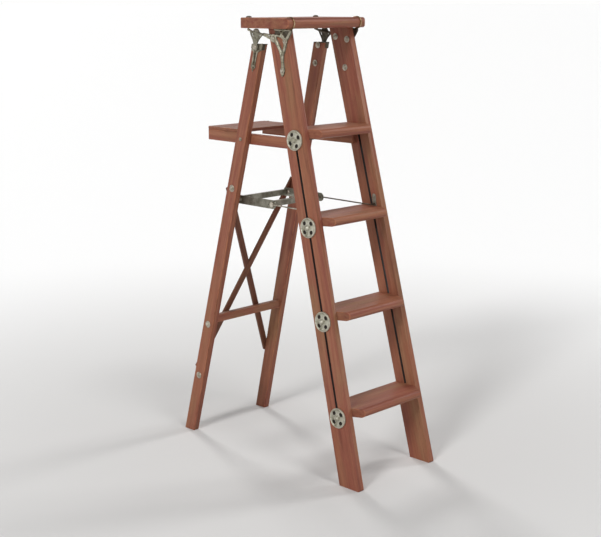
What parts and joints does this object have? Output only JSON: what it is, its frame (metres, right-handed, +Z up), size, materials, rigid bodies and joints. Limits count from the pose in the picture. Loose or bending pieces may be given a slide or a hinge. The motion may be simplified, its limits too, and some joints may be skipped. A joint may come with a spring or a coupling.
{
  "type": "step ladder",
  "caption": "Folding wooden library step ladder with flat treads, a top cap, a rear book shelf, cast rosettes on the rails and a folding metal spreader.",
  "frame": {"origin": "on the floor, in the middle of the footprint, between the two side frames", "axes": "+Z up, the steps face -Y, +X is the right-hand side of a person climbing"},
  "size_m": [0.4016, 0.873, 1.503],
  "materials": {
    "wood": "satin",
    "cast_metal": "satin",
    "steel": "satin"
  },
  "bodies": {
    "front_frame": {"front_rail_left": "wood", "front_rail_right": "wood", "step_1": "wood", "step_2": "wood", "step_3": "wood", "step_4": "wood", "top_cap": "wood", "step_rod_1": "steel", "step_rod_2": "steel", "step_rod_3": "steel", "step_rod_4": "steel", "rosette_left_1": "cast_metal", "rosette_left_2": "cast_metal", "rosette_left_3": "cast_metal", "rosette_left_4": "cast_metal", "rosette_right_1": "cast_metal", "rosette_right_2": "cast_metal", "rosette_right_3": "cast_metal", "rosette_right_4": "cast_metal", "step_rod_nuts": "steel", "cap_bracket_left": "cast_metal", "cap_bracket_right": "cast_metal", "nose_strap_left": "steel", "nose_strap_right": "steel", "bracket_bolts": "steel", "bracket_nuts": "steel", "cap_bolts": "steel", "hinge_hanger_left": "cast_metal", "hinge_hanger_right": "cast_metal", "hinge_pins": "steel", "spreader_eye_plates": "cast_metal", "eye_plate_screws": "steel"},
    "rear_frame": {"rear_leg_left": "wood", "rear_leg_right": "wood", "leg_shoe_left": "cast_metal", "leg_shoe_right": "cast_metal", "shoe_bolts": "steel", "rear_rung": "wood", "leg_lag_bolts": "steel", "brace_left": "wood", "brace_right": "wood", "brace_screws": "steel", "shelf_pivot_bolts": "steel", "spreader_pivot_bolts": "steel"},
    "shelf": {"shelf_arm_left": "wood", "shelf_arm_right": "wood", "shelf_board": "wood", "shelf_screws": "steel"},
    "spreader_yoke": {"yoke_plate_left": "cast_metal", "yoke_plate_right": "cast_metal", "yoke_front_bar": "cast_metal", "yoke_rear_bar": "cast_metal", "yoke_rivets": "steel"},
    "spreader_rod_left": {"spreader_rod_left": "steel"},
    "spreader_rod_right": {"spreader_rod_right": "steel"}
  },
  "joints": [
    {"name": "rear_fold", "type": "hinge", "parent": "front_frame", "child": "rear_frame", "pos_m": [0, 0.0681, 1.402], "axis": [-1, 0, 0], "range_deg": [0, 27.5]},
    {"name": "shelf_tilt", "type": "hinge", "parent": "rear_frame", "child": "shelf", "pos_m": [0, 0.14358, 1.094], "axis": [1, 0, 0], "range_deg": [0, 95.8]},
    {"name": "yoke_swing", "type": "hinge", "parent": "rear_frame", "child": "spreader_yoke", "pos_m": [0, 0.19652, 0.878], "axis": [-1, 0, 0], "range_deg": [0, 76.79]},
    {"name": "rod_swing_left", "type": "hinge", "parent": "front_frame", "child": "spreader_rod_left", "pos_m": [0, -0.1905, 0.8763], "axis": [1, 0, 0], "range_deg": [0, 42.42]},
    {"name": "rod_swing_right", "type": "hinge", "parent": "front_frame", "child": "spreader_rod_right", "pos_m": [0, -0.1905, 0.8763], "axis": [1, 0, 0], "range_deg": [0, 42.42]}
  ],
  "couplings": [
    {"joint": "shelf_tilt", "follows": "rear_fold", "ratio": 3.4835},
    {"joint": "yoke_swing", "follows": "rear_fold", "ratio": 2.7923},
    {"joint": "rod_swing_left", "follows": "rear_fold", "ratio": 1.5424},
    {"joint": "rod_swing_right", "follows": "rear_fold", "ratio": 1.5424}
  ]
}
